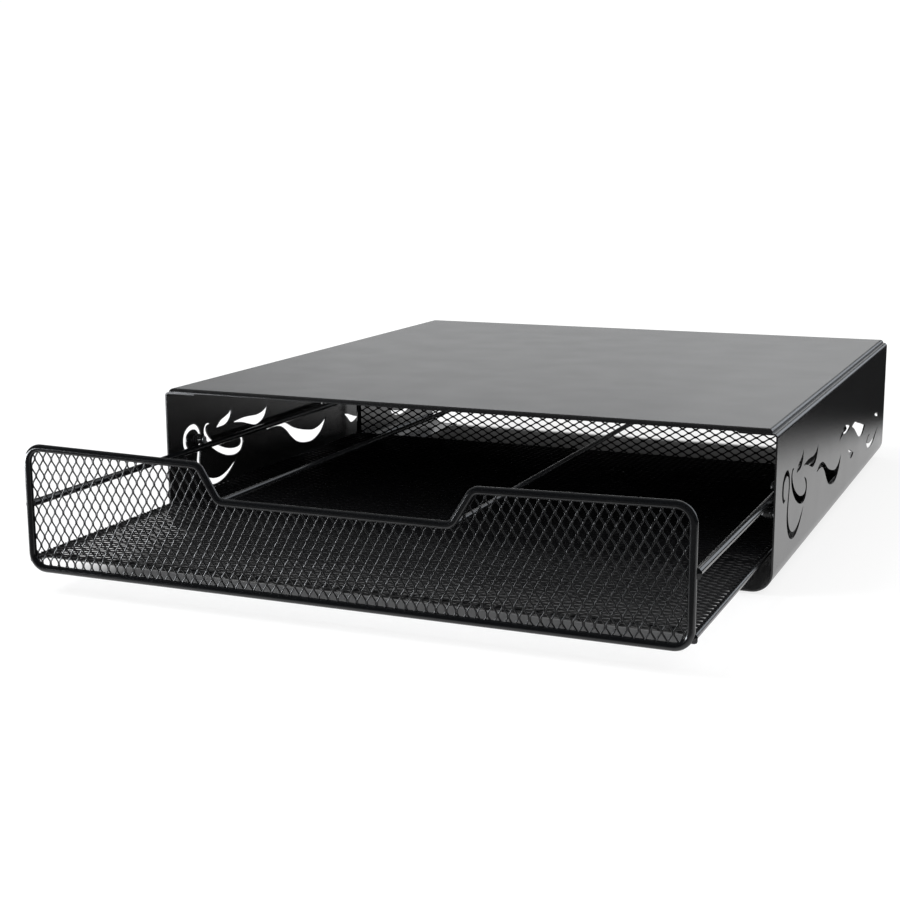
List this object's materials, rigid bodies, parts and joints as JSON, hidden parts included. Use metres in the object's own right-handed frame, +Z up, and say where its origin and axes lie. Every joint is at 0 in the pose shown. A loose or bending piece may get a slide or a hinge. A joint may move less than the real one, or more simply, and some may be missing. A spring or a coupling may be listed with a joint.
{
  "type": "coffee pod drawer",
  "caption": "Folded steel stand for a coffee maker with scroll cut-outs in its sides and a roll-out drawer of wire and expanded metal for coffee pods.",
  "frame": {"origin": "under the middle of the whole product on the surface it stands on, with the drawer as far out as it is drawn at rest", "axes": "+X to the right seen from the front, +Y from the drawer's front to the casing's back, +Z up"},
  "size_m": [0.3264, 0.4754, 0.0782],
  "materials": {
    "casing_coat": "fine-grained semi-gloss black powder coat",
    "wire_coat": "gloss black powder coat",
    "mesh_coat": "gloss black powder coat",
    "roller_nylon": "smooth moulded nylon, black",
    "stud_steel": "zinc-plated turned steel",
    "pad_rubber": "matt black rubber"
  },
  "bodies": {
    "casing": {"top_panel": "casing_coat", "side_panel_left": "casing_coat", "side_panel_right": "casing_coat", "roller_studs": "stud_steel", "foot_pad_front_left": "pad_rubber", "foot_pad_front_right": "pad_rubber", "foot_pad_rear_left": "pad_rubber", "foot_pad_rear_right": "pad_rubber"},
    "drawer": {"front_frame": "wire_coat", "front_mesh": "mesh_coat", "back_frame": "wire_coat", "back_mesh": "mesh_coat", "floor_mesh": "mesh_coat", "mid_rail_left": "wire_coat", "mid_rail_right": "wire_coat", "low_rail_left": "wire_coat", "low_rail_right": "wire_coat", "divider_wire_left": "wire_coat", "divider_wire_right": "wire_coat", "back_cross_wire": "wire_coat", "floor_wire_front": "wire_coat", "floor_wire_middle_front": "wire_coat", "floor_wire_middle_rear": "wire_coat", "floor_wire_rear": "wire_coat", "rear_glide_left": "roller_nylon", "rear_glide_right": "roller_nylon"},
    "front_roller_left": {"front_roller_left": "roller_nylon"},
    "front_roller_right": {"front_roller_right": "roller_nylon"},
    "hold_down_roller_left": {"hold_down_roller_left": "roller_nylon"},
    "hold_down_roller_right": {"hold_down_roller_right": "roller_nylon"}
  },
  "joints": [
    {"name": "drawer_slide", "type": "slide", "parent": "casing", "child": "drawer", "axis": [0, -1, 0], "range_m": [-0.126, 0.186]},
    {"name": "front_roller_left_spin", "type": "hinge", "parent": "casing", "child": "front_roller_left", "pos_m": [-0.15775, -0.10525, 0.0377], "axis": [1, 0, 0], "continuous": true},
    {"name": "front_roller_right_spin", "type": "hinge", "parent": "casing", "child": "front_roller_right", "pos_m": [0.15775, -0.10525, 0.0377], "axis": [1, 0, 0], "continuous": true},
    {"name": "hold_down_roller_left_spin", "type": "hinge", "parent": "casing", "child": "hold_down_roller_left", "pos_m": [-0.15775, -0.08625, 0.0463], "axis": [1, 0, 0], "continuous": true},
    {"name": "hold_down_roller_right_spin", "type": "hinge", "parent": "casing", "child": "hold_down_roller_right", "pos_m": [0.15775, -0.08625, 0.0463], "axis": [1, 0, 0], "continuous": true}
  ],
  "couplings": [
    {"joint": "front_roller_left_spin", "follows": "drawer_slide", "rad_per_m": 400},
    {"joint": "front_roller_right_spin", "follows": "drawer_slide", "rad_per_m": 400},
    {"joint": "hold_down_roller_left_spin", "follows": "drawer_slide", "rad_per_m": -400},
    {"joint": "hold_down_roller_right_spin", "follows": "drawer_slide", "rad_per_m": -400}
  ]
}
